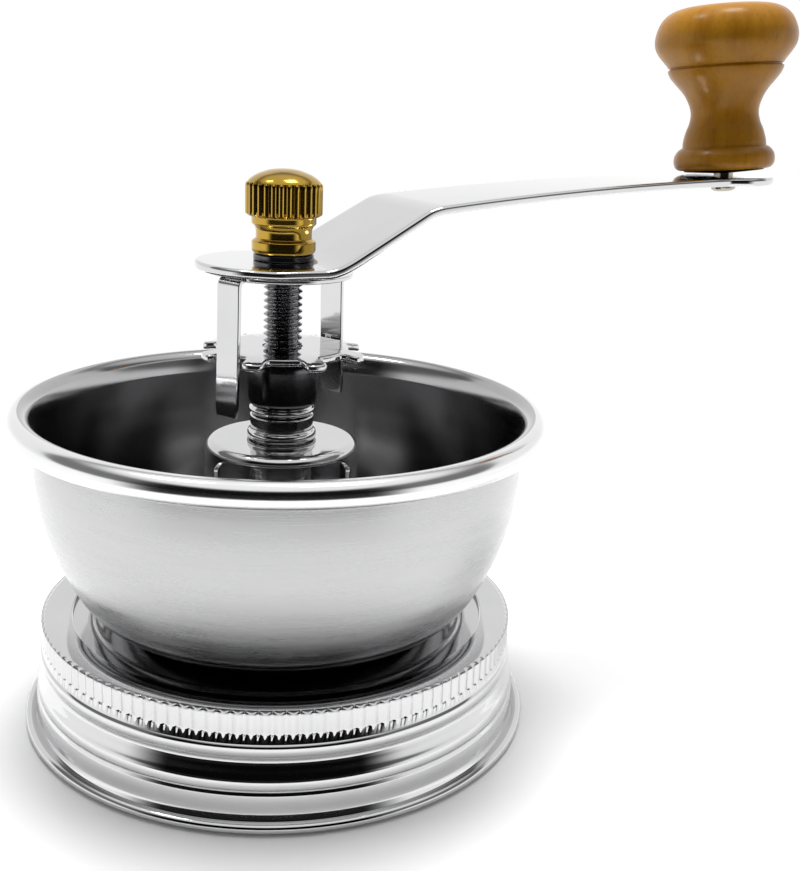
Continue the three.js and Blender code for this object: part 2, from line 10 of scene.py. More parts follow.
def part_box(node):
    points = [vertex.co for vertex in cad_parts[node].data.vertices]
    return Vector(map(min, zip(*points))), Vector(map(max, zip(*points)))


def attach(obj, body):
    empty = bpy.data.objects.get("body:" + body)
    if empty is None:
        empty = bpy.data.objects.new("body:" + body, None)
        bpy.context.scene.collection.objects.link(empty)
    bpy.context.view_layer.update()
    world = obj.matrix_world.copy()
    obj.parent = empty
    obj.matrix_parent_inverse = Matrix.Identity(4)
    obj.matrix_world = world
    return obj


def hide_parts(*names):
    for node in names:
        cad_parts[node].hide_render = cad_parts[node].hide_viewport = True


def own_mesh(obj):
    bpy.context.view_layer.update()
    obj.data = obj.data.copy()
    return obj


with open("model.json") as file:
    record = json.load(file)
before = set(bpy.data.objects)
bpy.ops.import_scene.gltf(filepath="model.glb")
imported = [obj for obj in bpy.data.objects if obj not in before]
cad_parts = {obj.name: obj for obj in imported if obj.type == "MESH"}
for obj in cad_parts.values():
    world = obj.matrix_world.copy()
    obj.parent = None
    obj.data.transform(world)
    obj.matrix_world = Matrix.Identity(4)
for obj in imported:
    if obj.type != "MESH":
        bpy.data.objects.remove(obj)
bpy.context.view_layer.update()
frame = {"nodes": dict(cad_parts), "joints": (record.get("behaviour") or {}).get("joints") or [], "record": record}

# Lengths are in millimetres about the shaft's axis, and become metres when a mesh is made.
MM = 0.001
record = frame["record"]
BODY_OF = {node: body for body, nodes in record["behaviour"]["bodies"].items() for node in nodes}
SHAFT_LOW, SHAFT_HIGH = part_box("drive_shaft")
AXIS = Vector(((SHAFT_LOW.x + SHAFT_HIGH.x) / 2, (SHAFT_LOW.y + SHAFT_HIGH.y) / 2, 0))


def bottom(node):
    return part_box(node)[0].z / MM


def top(node):
    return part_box(node)[1].z / MM


def reach(node):
    """Largest distance of a node from the shaft's axis along X."""
    low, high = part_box(node)
    return max(AXIS.x - low.x, high.x - AXIS.x) / MM


def joint(name):
    return next(j for j in frame["joints"] if j["name"] == name)


# ---------- outlines ----------
def arc(centre, radius, start, end, steps):
    """Points of an arc, angles in degrees from the outward direction."""
    angles = np.radians(np.linspace(start, end, steps + 1))
    return [(centre[0] + radius * math.cos(a), centre[1] + radius * math.sin(a)) for a in angles]


def spline(points, divisions):
    """Smooth curve through a few points."""
    p = np.array([points[0], *points, points[-1]], float)
    out = []
    for t in np.linspace(0, len(points) - 1, divisions + 1):
        i = min(int(t), len(points) - 2)
        f = t - i
        a, b, c, d = p[i : i + 4]
        bent = (2 * a - 5 * b + 4 * c - d) * f**2
        twisted = (3 * b - a - 3 * c + d) * f**3
        out.append(tuple((2 * b + (c - a) * f + bent + twisted) / 2))
    return out


def bezier(a, b, c, steps):
    """Quadratic curve from a to c with control point b."""
    t = np.linspace(0, 1, steps + 1)[:, None]
    a, b, c = (np.array(p, float) for p in (a, b, c))
    return [tuple(p) for p in (1 - t) ** 2 * a + 2 * t * (1 - t) * b + t**2 * c]


def rounded(points, radius=0.25, steps=3):
    """Closed outline with rounded corners, except on the axis. A corner may bring its own radius."""
    out = []
    count = len(points)
    for i, corner in enumerate(points):
        p = np.array(corner[:2], float)
        r = corner[2] if len(corner) > 2 else radius
        before = np.array(points[i - 1][:2], float) - p
        after = np.array(points[(i + 1) % count][:2], float) - p
        if p[0] <= 0 or r == 0:
            out.append(tuple(p))
            continue
        lengths = np.linalg.norm(before), np.linalg.norm(after)
        back = p + before / lengths[0] * min(r, 0.45 * lengths[0])
        ahead = p + after / lengths[1] * min(r, 0.45 * lengths[1])
        out.extend(bezier(back, p, ahead, steps))
    return out


# ---------- meshes ----------
def finish_mesh(name, vertices, faces, material, nodes, matrix=None, sharp=38):
    """Makes the piece, in place of its CAD nodes. The first one gives its body."""
    points = np.array(vertices, float) * MM
    mesh = bpy.data.meshes.new(name)
    mesh.from_pydata(points.tolist(), [], faces)
    mesh.transform(matrix if matrix else Matrix.Translation(AXIS))
    clean = bmesh.new()
    clean.from_mesh(mesh)
    bmesh.ops.remove_doubles(clean, verts=clean.verts, dist=1e-7)
    bmesh.ops.dissolve_degenerate(clean, edges=clean.edges, dist=1e-8)
    bmesh.ops.recalc_face_normals(clean, faces=clean.faces)
    clean.to_mesh(mesh)
    clean.free()
    mesh.shade_smooth()
    mesh.set_sharp_from_angle(angle=math.radians(sharp))
    mesh.materials.append(material)
    piece = bpy.data.objects.new(name, mesh)
    bpy.context.scene.collection.objects.link(piece)
    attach(piece, BODY_OF[nodes[0]])
    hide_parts(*nodes)
    return piece


def turned(profile, segments=128, shape=None):
    """Closed (radius, height) outline turned about Z. shape(angles, radius, height) may vary it."""
    angles = np.linspace(0, 2 * math.pi, segments, endpoint=False)
    vertices, rows, faces = [], [], []
    for radius, height in profile:
        start = len(vertices)
        if radius < 1e-6:
            vertices.append((0, 0, height))
            rows.append([start] * segments)
            continue
        radii = np.full(segments, radius) if shape is None else shape(angles, radius, height)
        x, y = radii * np.cos(angles), radii * np.sin(angles)
        vertices.extend(np.column_stack([x, y, np.full(segments, height)]).tolist())
        rows.append(list(range(start, start + segments)))
    on_axis = profile[0][0] < 1e-6 and profile[-1][0] < 1e-6
    for j in range(len(rows) - (1 if on_axis else 0)):
        lower, upper = rows[j], rows[(j + 1) % len(rows)]
        for i in range(segments):
            k = (i + 1) % segments
            face = tuple(dict.fromkeys((lower[i], lower[k], upper[k], upper[i])))
            if len(face) > 2:
                faces.append(face)
    return vertices, faces


def lathe(name, profile, material, nodes, segments=128, shape=None, matrix=None, sharp=38):
    vertices, faces = turned(profile, segments, shape)
    return finish_mesh(name, vertices, faces, material, nodes, matrix, sharp)


def washer(node, material, inner, edge=0.15, segments=96):
    """Flat ring with softened edges, in the place of a CAD ring."""
    low, high, outer = bottom(node), top(node), reach(node)
    outline = rounded([(inner, low), (outer, low), (outer, high), (inner, high)], edge)
    return lathe(node, outline, material, [node], segments)


def grid_faces(rows):
    """Quads between neighbouring rows of vertex numbers."""
    return [
        (a[i], a[i + 1], b[i + 1], b[i])
        for a, b in zip(rows, rows[1:])
        for i in range(len(a) - 1)
    ]


class Sheet:
    """A bent sheet's upper face, row by row. Rows that meet are merged when it is made."""

    def __init__(self):
        self.vertices = []
        self.faces = []

    def patch(self, rows):
        numbered = []
        for row in rows:
            start = len(self.vertices)
            self.vertices.extend(row)
            numbered.append(list(range(start, start + len(row))))
        self.faces.extend(grid_faces(numbered))

    def make(self, name, material, nodes, thickness, edge, up=(0, 0, 1)):
        piece = finish_mesh(name, self.vertices, self.faces, material, nodes, sharp=180)
        mesh = piece.data
        biggest = max(mesh.polygons, key=lambda face: face.area)
        if biggest.normal.dot(Vector(up)) < 0:
            mesh.flip_normals()
        solid = piece.modifiers.new("thickness", "SOLIDIFY")
        solid.thickness = thickness * MM
        solid.offset = -1
        bevel = piece.modifiers.new("edges", "BEVEL")
        bevel.width = edge * MM
        bevel.segments = 3
        bevel.limit_method = "ANGLE"
        bevel.angle_limit = math.radians(50)
        bevel.use_clamp_overlap = False
        piece.modifiers.new("normals", "WEIGHTED_NORMAL")
        return piece


def inset(outline, distance):
    """Anticlockwise outline moved inwards, square to itself."""
    points = np.array(outline, float)
    along = np.roll(points, -1, 0) - np.roll(points, 1, 0)
    along /= np.linalg.norm(along, axis=1)[:, None]
    return points + distance * np.column_stack([-along[:, 1], along[:, 0]])


def stamped_plate(name, material, outline, middle, thickness, edge, bend, pierced):
    """
    Plate with rounded edges. middle(points, share) is the outline drawn in towards the plate's middle.
    bend(x, y, depth) places a point that lies at a depth below the upper face of the flat plate.
    """
    quarter = np.radians(np.linspace(0, 90, 6))
    rim = [(edge * (1 - math.sin(a)), edge * (1 - math.cos(a))) for a in quarter]
    rim += [(d, thickness - depth) for d, depth in reversed(rim)]
    shares = (0, 0.25, 0.5, 0.75, 0.9)
    flat = inset(outline, edge)
    loops = [(middle(flat, share), 0) for share in shares]
    loops += [(inset(outline, d), depth) for d, depth in rim]
    loops += [(middle(flat, share), thickness) for share in reversed(shares)]
    count = len(outline)
    vertices = [bend(x, y, depth) for loop, depth in loops for x, y in loop]
    faces = []
    for j in range(len(loops) - (0 if pierced else 1)):
        k = (j + 1) % len(loops)
        for i in range(count):
            n = (i + 1) % count
            faces.append((j * count + i, j * count + n, k * count + n, k * count + i))
    return finish_mesh(name, vertices, faces, material, [name], sharp=50)


def circles(radii, angles, height):
    """A row of points for each radius, all at one height."""
    return [[(r * math.cos(a), r * math.sin(a), height) for a in angles] for r in radii]


def turn(points, degrees):
    """Points turned about the shaft's axis."""
    c, s = math.cos(math.radians(degrees)), math.sin(math.radians(degrees))
    return [(c * x - s * y, s * x + c * y, z) for x, y, z in points]


# ---------- materials ----------
def new_material(name):
    material = bpy.data.materials.new(name)
    material.use_nodes = True
    tree = material.node_tree
    return material, tree, tree.nodes["Principled BSDF"]


def node(tree, kind, inputs=(), **settings):
    """A node with its settings, and with (socket, value or link) pairs for its inputs."""
    made = tree.nodes.new(kind)
    for key, value in settings.items():
        setattr(made, key, value)
    for socket, value in inputs:
        if isinstance(value, bpy.types.NodeSocket):
            tree.links.new(value, made.inputs[socket])
        else:
            made.inputs[socket].default_value = value
    return made


def calc(tree, operation, a, b=0.0, c=0.0):
    return node(tree, "ShaderNodeMath", [(0, a), (1, b), (2, c)], operation=operation).outputs[0]


def product(tree, a, b):
    return calc(tree, "MULTIPLY", a, b)


def without(tree, share):
    """What is left of one when a share of it is taken away."""
    return calc(tree, "SUBTRACT", 1.0, share)


def hypotenuse(tree, a, b):
    return calc(tree, "SQRT", calc(tree, "ADD", product(tree, a, a), product(tree, b, b)))


def vector(tree, operation, a, b=(0.0, 0.0, 0.0), output=0):
    """Vector arithmetic. Output 1 is the number that a dot product or a length gives."""
    return node(tree, "ShaderNodeVectorMath", [(0, a), (1, b)], operation=operation).outputs[output]


def blend(tree, share, a, b):
    """Colour that goes from a to b as the share goes from 0 to 1."""
    return node(tree, "ShaderNodeMix", [(0, share), (6, a), (7, b)], data_type="RGBA").outputs[2]


def emboss(tree, shader, height, strength, distance):
    inputs = [("Height", height), ("Strength", strength), ("Distance", distance)]
    tree.links.new(node(tree, "ShaderNodeBump", inputs).outputs[0], shader.inputs["Normal"])


def fade(tree, value, start, end, low=0.0, high=1.0):
    """Value that goes smoothly from low to high as another goes from start to end."""
    inputs = [("Value", value), ("From Min", start), ("From Max", end)]
    inputs += [("To Min", low), ("To Max", high)]
    return node(tree, "ShaderNodeMapRange", inputs, interpolation_type="SMOOTHSTEP").outputs[0]


def place(tree):
    return node(tree, "ShaderNodeTexCoord").outputs["Object"]


def noise(tree, where, scale, detail=3.0, roughness=0.5):
    inputs = [("Vector", where), ("Scale", scale), ("Detail", detail), ("Roughness", roughness)]
    return node(tree, "ShaderNodeTexNoise", inputs).outputs["Fac"]


def ramp(tree, value, *stops):
    """Colour ramp with (position, colour) stops."""
    made = node(tree, "ShaderNodeValToRGB", [("Fac", value)])
    elements = made.color_ramp.elements
    while len(elements) < len(stops):
        elements.new(0.5)
    for element, (position, colour) in zip(elements, stops):
        element.position = position
        element.color = (*colour, 1)
    return made.outputs["Color"]


def around_axis(tree):
    """Coordinates that are the same all round the shaft: distance from it, and height."""
    moved = vector(tree, "SUBTRACT", place(tree), tuple(AXIS))
    parts = node(tree, "ShaderNodeSeparateXYZ", [(0, moved)]).outputs
    radius = hypotenuse(tree, parts[0], parts[1])
    return node(tree, "ShaderNodeCombineXYZ", [(0, radius), (2, parts[2])]).outputs[0]


def metal(name, colour, shade, rough, spun=0.0, dents=0.12, relief=0.2):
    """Metal with slight cloudiness, fine handling marks and, if spun, turning lines round the shaft."""
    material, tree, shader = new_material(name)
    where = place(tree)
    cloud = noise(tree, where, 60.0, 4.0, 0.6)
    speckle = noise(tree, where, 900.0, 3.0, 0.65)
    tone = ramp(tree, cloud, (0.3, [c * shade for c in colour]), (0.7, colour))
    tree.links.new(tone, shader.inputs["Base Color"])
    shader.inputs["Metallic"].default_value = 1.0
    height = calc(tree, "MULTIPLY_ADD", speckle, dents, product(tree, cloud, dents))
    if spun:
        lines = noise(tree, around_axis(tree), 5200.0, 4.0, 0.7)
        broad = noise(tree, around_axis(tree), 700.0, 2.0, 0.5)
        height = calc(tree, "MULTIPLY_ADD", broad, spun * 0.6, height)
        height = calc(tree, "MULTIPLY_ADD", lines, spun, height)
        wear = calc(tree, "MULTIPLY_ADD", lines, 0.5, product(tree, cloud, 0.5))
    else:
        wear = calc(tree, "MULTIPLY_ADD", speckle, 0.4, product(tree, cloud, 0.6))
    tree.links.new(fade(tree, wear, 0.3, 0.7, rough * 0.75, rough * 1.3), shader.inputs["Roughness"])
    emboss(tree, shader, height, relief, 0.00003)
    return material


RIM_BEGINS = (0.0427, 0.0432)  # metres from the shaft's axis, from the wall to the rolled rim
FOOT_ENDS = (0.009, 0.004)  # metres above the bowl's underside, from the wall to the foot
GLOSS = 0.45  # share of the wall's roughness that the rim and the foot lose


def bowl_steel():
    """Steel brushed round the bowl's outside and polished inside; a painted highlight brightens its rim, painted
    shade darkens its inside.
    """
    material, tree, shader = new_material("bowl_steel")
    where = place(tree)
    cloud = noise(tree, where, 55.0, 4.0, 0.6)
    streak = noise(tree, vector(tree, "MULTIPLY", where, (1.0, 1.0, 9.0)), 60.0, 4.0, 0.65)
    lines = noise(tree, around_axis(tree), 4200.0, 4.0, 0.7)

    level = vector(tree, "MULTIPLY", vector(tree, "SUBTRACT", where, tuple(AXIS)), (1.0, 1.0, 0.0))
    normal = node(tree, "ShaderNodeNewGeometry").outputs["True Normal"]
    facing = vector(tree, "DOT_PRODUCT", normal, vector(tree, "NORMALIZE", level), output=1)
    inside = fade(tree, facing, -0.02, -0.12)
    rim = fade(tree, vector(tree, "LENGTH", level, output=1), *RIM_BEGINS)
    height_here = node(tree, "ShaderNodeSeparateXYZ", [(0, where)]).outputs[2]
    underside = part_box("hopper_bowl")[0].z
    foot = fade(tree, height_here, *(underside + end for end in FOOT_ENDS))
    shiny = calc(tree, "MAXIMUM", rim, foot)

    # wall is the outer wall's own tone. edge is the rim drawn brighter than the wall, a painted highlight.
    wall = ramp(tree, streak, (0.3, (0.46, 0.46, 0.465)), (0.7, (0.50, 0.50, 0.505)))
    edge = ramp(tree, cloud, (0.3, (0.77, 0.77, 0.775)), (0.7, (0.83, 0.83, 0.835)))
    # bright is the inside drawn darker than the outside: painted shade.
    bright = ramp(tree, cloud, (0.3, (0.39, 0.39, 0.395)), (0.7, (0.43, 0.43, 0.435)))
    tone = blend(tree, inside, blend(tree, rim, wall, edge), bright)
    tree.links.new(tone, shader.inputs["Base Color"])
    shader.inputs["Metallic"].default_value = 1.0

    brushing = calc(tree, "MULTIPLY_ADD", lines, 0.4, product(tree, streak, 0.6))
    outer_rough = fade(tree, brushing, 0.3, 0.7, 0.24, 0.34)
    outer_rough = product(tree, outer_rough, without(tree, product(tree, shiny, GLOSS)))
    inner_rough = fade(tree, cloud, 0.3, 0.7, 0.12, 0.17)
    inputs = [(0, inside), (2, outer_rough), (3, inner_rough)]
    rough = node(tree, "ShaderNodeMix", inputs, data_type="FLOAT").outputs[0]
    tree.links.new(rough, shader.inputs["Roughness"])
    scratches = calc(tree, "MULTIPLY_ADD", lines, 0.5, product(tree, streak, 0.8))
    height = product(tree, scratches, without(tree, calc(tree, "MAXIMUM", inside, shiny)))
    emboss(tree, shader, height, 0.25, 0.00004)
    return material


def lacquered_wood(origin):
    """Honey-coloured turned hardwood under clear lacquer, grain along the knob's axis."""
    material, tree, shader = new_material("lacquered_wood")
    moved = vector(tree, "SUBTRACT", place(tree), tuple(origin))
    drawn = vector(tree, "MULTIPLY", moved, (1.0, 1.0, 0.16))
    wander = noise(tree, drawn, 90.0, 3.0, 0.5)
    figure = noise(tree, drawn, 420.0, 5.0, 0.62)
    pores = noise(tree, drawn, 2600.0, 2.0, 0.5)
    rings = calc(tree, "SINE", calc(tree, "MULTIPLY_ADD", wander, 26.0, product(tree, figure, 5.0)))
    grain = calc(tree, "MULTIPLY_ADD", rings, 0.07, calc(tree, "MULTIPLY_ADD", figure, 0.75, 0.12))
    stops = (0.2, (0.29, 0.112, 0.002)), (0.5, (0.385, 0.165, 0.006)), (0.8, (0.47, 0.22, 0.017))
    in_pores = fade(tree, pores, 0.56, 0.72, 0.0, 0.3)
    tone = blend(tree, in_pores, ramp(tree, grain, *stops), (0.15, 0.065, 0.012, 1))
    tree.links.new(tone, shader.inputs["Base Color"])
    tree.links.new(fade(tree, figure, 0.3, 0.7, 0.3, 0.45), shader.inputs["Roughness"])
    shader.inputs["Specular IOR Level"].default_value = 0.1
    shader.inputs["Coat Weight"].default_value = 0.28
    shader.inputs["Coat Roughness"].default_value = 0.24
    height = calc(tree, "MULTIPLY_ADD", figure, 0.5, product(tree, pores, -0.35))
    emboss(tree, shader, height, 0.45, 0.00008)
    return material


def matte(name, light, dark, rough, scale, bump_height):
    """Rubber or ceramic: a slightly mottled surface with a fine grain."""
    material, tree, shader = new_material(name)
    where = place(tree)
    mottle = noise(tree, where, scale, 4.0, 0.6)
    tree.links.new(ramp(tree, mottle, (0.3, dark), (0.7, light)), shader.inputs["Base Color"])
    tree.links.new(fade(tree, mottle, 0.3, 0.7, rough * 0.85, rough * 1.15), shader.inputs["Roughness"])
    emboss(tree, shader, mottle, 0.3, bump_height)
    return material


KNOB_ORIGIN = Vector(joint("knob_spin")["pos_m"])
polished = metal("polished_steel", (0.63, 0.63, 0.635), 0.94, 0.07)
bright_steel = metal("bright_steel", (0.58, 0.58, 0.585), 0.94, 0.11, spun=0.3)
plain_steel = metal("plain_steel", (0.50, 0.495, 0.48), 0.9, 0.18)
# Blackened steel of the adjuster hub. The same black on the washers under the crank nut and the knob is painted
# shade in the gaps there.
dark_steel = metal("blackened_steel_and_gap_shade", (0.12, 0.12, 0.125), 0.75, 0.16, relief=0.1)
# The shaft's steel is drawn darker than the other steel, as painted shade inside the bowl and the hub.
thread_steel_painted_dark = metal("thread_steel_painted_dark", (0.29, 0.29, 0.30), 0.85, 0.12, dents=0.03, relief=0.05)
# The pin's steel is drawn darker than the other steel, as painted shade in the gap under the knob.
pin_steel_painted_dark = metal("pin_steel_painted_dark", (0.40, 0.37, 0.31), 0.8, 0.2)
spring_steel = metal("spring_steel", (0.42, 0.42, 0.43), 0.85, 0.28)
brass = metal("brass", (0.48, 0.305, 0.05), 0.86, 0.13, spun=0.15)
spun_bowl = bowl_steel()
wood = lacquered_wood(KNOB_ORIGIN)
rubber = matte("seal_rubber", (0.78, 0.76, 0.70), (0.68, 0.66, 0.60), 0.6, 700.0, 0.00004)
ceramic = matte("burr_ceramic", (0.86, 0.84, 0.78), (0.76, 0.74, 0.67), 0.45, 900.0, 0.00005)


# ---------- screw band, jar disc and gasket ----------
KNURL_COUNT = 125
KNURL_DEPTH = 0.34
KNURL_END = 0.13  # height over which the teeth rise at both ends


def screw_band():
    lip, height = reach("screw_band"), top("screw_band")
    grip = lip - 3.45
    opening = grip - 5.35
    knurl_low, knurl_high = height - 4.0, height - 0.2

    def knurl(angles, radius, z):
        inside = max(0.0, min(1.0, (z - knurl_low) / KNURL_END, (knurl_high - z) / KNURL_END))
        if radius < grip - 0.5 or inside == 0:
            return np.full(len(angles), radius)
        return radius - KNURL_DEPTH * inside * (0.5 - 0.5 * np.cos(angles * KNURL_COUNT)) ** 1.4

    lip_roll = arc((lip - 0.85, 1.02), 0.85, -60, 140, 14)
    walls = spline([(lip - 2, 2.6), (lip - 2.08, 3.3), (lip - 2.1, 4.7), (lip - 2.2, 5.8)], 9)
    beads = spline([
        (lip - 2.5, 6.12), (lip - 2.5, 6.35), (lip - 2.38, 6.75), (lip - 2.4, 7.5), (lip - 2.55, 8.1),
        (lip - 2.9, 8.8), (lip - 3.25, 9.6), (lip - 3.6, 10.4), (lip - 3.68, 10.9), (lip - 3.5, 11.35),
        (lip - 3.2, 11.8), (lip - 3.02, 12.4), (lip - 2.98, 12.9), (lip - 3.06, 13.4),
        (lip - 3.22, 13.65), (lip - 3.42, 13.85),
    ], 60)
    teeth = np.linspace(knurl_low + 0.4, knurl_high - 0.4, 8)
    heights = [knurl_low, knurl_low + KNURL_END, *teeth, knurl_high - KNURL_END, knurl_high]
    knurled = [(grip, z) for z in heights]
    shoulder = [(grip - 0.12, height - 0.32), (grip - 0.4, height - 0.1), (grip - 0.95, height)]
    flange = [(opening + 0.3, height), (opening, height - 0.3), (opening + 0.3, height - 0.6)]
    inner = spline([
        (grip - 1.1, height - 0.6), (grip - 0.7, height - 1.2), (grip - 0.65, height - 4),
        (grip - 0.8, 13.6), (grip - 0.35, 12), (grip - 1.1, 9.3), (grip - 0.1, 7),
        (grip + 0.3, 5.6), (grip + 0.8, 2.6), (grip + 1.1, 0.7),
    ], 20)
    foot = [(lip - 1.9, 0.06), (lip - 1.4, 0)]
    outline = [*foot, *lip_roll, *walls, *beads, *knurled, *shoulder, *flange, *inner]
    lathe("screw_band", outline, polished, ["screw_band"], KNURL_COUNT * 6, knurl, sharp=50)


def jar_disc():
    low, high, edge = bottom("jar_disc"), top("jar_disc"), reach("jar_disc")
    sheet = 0.7
    step = edge - 7.05
    throat = 16.0
    lathe("jar_disc", rounded([
        (throat, low), (step, low, 0.8), (step + 0.7, high - sheet, 0.8), (edge, high - sheet),
        (edge, high), (step, high, 0.8), (step - 0.7, low + sheet, 0.8), (throat, low + sheet),
    ], 0.2, 5), bright_steel, ["jar_disc"], 256)


# ---------- hopper bowl ----------
RIM_BEAD = 2.22


def hopper_bowl():
    low = bottom("hopper_bowl")
    rim_radius = reach("hopper_bowl") - RIM_BEAD
    rim_height = top("hopper_bowl") - RIM_BEAD
    throat, sheet = 16.0, 0.8
    wall = [
        (24.8, low), (27.2, low + 0.35), (30.2, low + 1.75), (33.9, low + 4.3), (36.5, low + 7.9),
        (39.3, low + 13.8), (41.3, low + 20.3), (42.2, low + 26.3), (42.5, low + 31.3),
        (42.55, low + 35),
    ]
    outer = spline(wall, 60)
    inner = spline([(r - sheet, z + 0.35) for r, z in wall], 60)[::-1]
    bead = arc((rim_radius, rim_height), RIM_BEAD, -158, 168, 40)
    floor = [(22.5, low + sheet), (throat, low + sheet), (throat, low)]
    lathe("hopper_bowl", [*outer, *bead, *inner, *floor], spun_bowl, ["hopper_bowl"], 320, sharp=45)


# ---------- bridge, its screws and nuts ----------
BRIDGE_TURN = -18.0
SLAB_HALF = 11.5
WINDOW_HALF = 11.8
WINDOW_CORNER = 2.4


def bridge():
    ceiling = top("bridge")
    foot_top = bottom("bridge") + 1.0
    radius, foot_edge, sheet, shoulder = 13.6, 23.8, 1.0, 1.6
    window_top = ceiling - shoulder
    widest = math.acos((WINDOW_HALF - WINDOW_CORNER) / radius)

    def half_angle(r, z):
        """How far a leg reaches to each side of its centre line, at one point of its outline."""
        t = 1 - math.sqrt(1 - max(0.0, min(1.0, (z - window_top + WINDOW_CORNER) / WINDOW_CORNER)))
        opening = math.acos(min(1.0, (WINDOW_HALF - WINDOW_CORNER * t) / r))
        return min(opening, math.asin(SLAB_HALF / r))

    corner = arc((radius - shoulder, window_top), shoulder, 90, 0, 8)
    wall = [(radius, z) for z in np.linspace(window_top, foot_top + 1.6, 44)]
    heel = arc((radius + 1.5, foot_top + 1.5), 1.5, 180, 270, 8)
    foot = [(r, foot_top) for r in np.linspace(radius + 1.8, foot_edge, 12)]
    sheet_mesh = Sheet()
    for side in (BRIDGE_TURN, BRIDGE_TURN + 180):
        middle = np.linspace(-widest, widest, 33)
        left = np.linspace(-math.pi / 2, -widest, 15)
        every = np.concatenate([left[:-1], middle, -left[::-1][1:]])
        rows = []
        for r, z in [(5.75, ceiling), (7.5, ceiling), (9.5, ceiling), (11.0, ceiling), *corner]:
            rows.append([(r * math.cos(a), r * math.sin(a), z) for a in every])
        sheet_mesh.patch([turn(row, side) for row in rows])
        rows = []
        for r, z in [*wall, *heel, *foot]:
            scale = half_angle(r, z) / widest
            rows.append([(r * math.cos(a * scale), r * math.sin(a * scale), z) for a in middle])
        sheet_mesh.patch([turn(row, side) for row in rows])
    sheet_mesh.make("bridge", polished, ["bridge"], sheet, 0.2)


def hexagon(across, chamfer_low, chamfer_high):
    """Radius of a hexagonal nut whose corners are chamfered above and below."""

    def shape(angles, radius, z):
        if radius < across * 0.6:
            return np.full(len(angles), radius)
        flat = across / 2 / np.cos((angles + math.pi / 6) % (math.pi / 3) - math.pi / 6)
        limit = across / 2 + 0.05 + 1.6 * min(z - chamfer_low, chamfer_high - z)
        return np.minimum(flat, limit)

    return shape


def hex_nut(name, across, bore, material):
    low, high = bottom(name), top(name)
    outer = across / 2 / math.cos(math.pi / 6)
    edge = [(outer, z) for z in np.linspace(low, high, 9)]
    outline = [(bore, low), *edge, (bore, high)]
    shape = hexagon(across, low, high)
    lathe(name, outline, material, [name], 96, shape, Matrix.Translation(centre_of(name)), 25)


def centre_of(name):
    low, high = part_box(name)
    return Vector(((low.x + high.x) / 2, (low.y + high.y) / 2, 0))


def bridge_screw(name):
    low, high = bottom(name), top(name)
    seat = high - 1.8
    thread = [(1.5 - 0.14 * (i % 2), low + 0.25 * i) for i in range(int((seat - low) / 0.25))]
    recess = 1.25

    def socket(angles, radius, z):
        if z < seat or radius > recess * 1.1:
            return np.full(len(angles), radius)
        return radius * 0.92 / np.cos((angles % (math.pi / 3)) - math.pi / 6)

    dome = [(2.75, seat + 0.7), (2.45, high - 0.55), (1.9, high - 0.12), (recess * 1.15, high)]
    outline = [
        (0, low), (1.2, low), *thread, (1.5, seat), (2.6, seat), (2.75, seat + 0.15), *spline(dome, 12),
        (recess, high - 0.05), (recess, high - 1.0), (0, high - 1.1),
    ]
    lathe(name, outline, polished, [name], 72, socket, Matrix.Translation(centre_of(name)), 32)


# ---------- bushing, thrust washer and adjuster ----------
RUNNING_BORE = 3.5


def shaft_bushing():
    low, high = bottom("shaft_bushing"), top("shaft_bushing")
    sleeve = reach("shaft_bushing") - 0.55
    flange_low = top("bridge") + 0.3
    lathe("shaft_bushing", rounded([
        (RUNNING_BORE, low), (sleeve, low), (sleeve, flange_low - 0.1),
        (sleeve + 0.5, flange_low, 0.35), (sleeve + 0.55, flange_low + 0.65, 0.4),
        (sleeve + 0.35, flange_low + 1.3, 0.4),
        (sleeve - 0.15, flange_low + 1.55, 0.3), (sleeve + 0.05, high, 0.35), (RUNNING_BORE, high),
    ], 0.2, 4), polished, ["shaft_bushing"], 128)


def thrust_washer():
    low, high, edge = bottom("thrust_washer"), top("thrust_washer"), reach("thrust_washer")
    outline = [
        (RUNNING_BORE, low), (edge - 0.5, low), *arc((edge - 0.5, (low + high) / 2), 0.5, -75, 75, 8),
        (edge - 0.5, high), (RUNNING_BORE, high),
    ]
    lathe("thrust_washer", outline, polished, ["thrust_washer"], 128)


def adjuster_hub():
    low, high, edge = bottom("adjuster_hub"), top("adjuster_hub"), reach("adjuster_hub")
    lathe("adjuster_hub", rounded([
        (RUNNING_BORE, low), (edge - 0.35, low, 0.3), (edge, low + 0.8, 0.6), (edge, high - 1.4, 0.9),
        (edge - 1.3, high, 0.9), (RUNNING_BORE, high),
    ], 0.2, 5), dark_steel, ["adjuster_hub"], 128)


NOTCHES = 8
NOTCH_TURN = 27.0
NOTCH_HALF = 13.5
NOTCH_BOTTOM = 11.5
TAB_DROOP = 0.5
PLATE_SHEET = 1.28


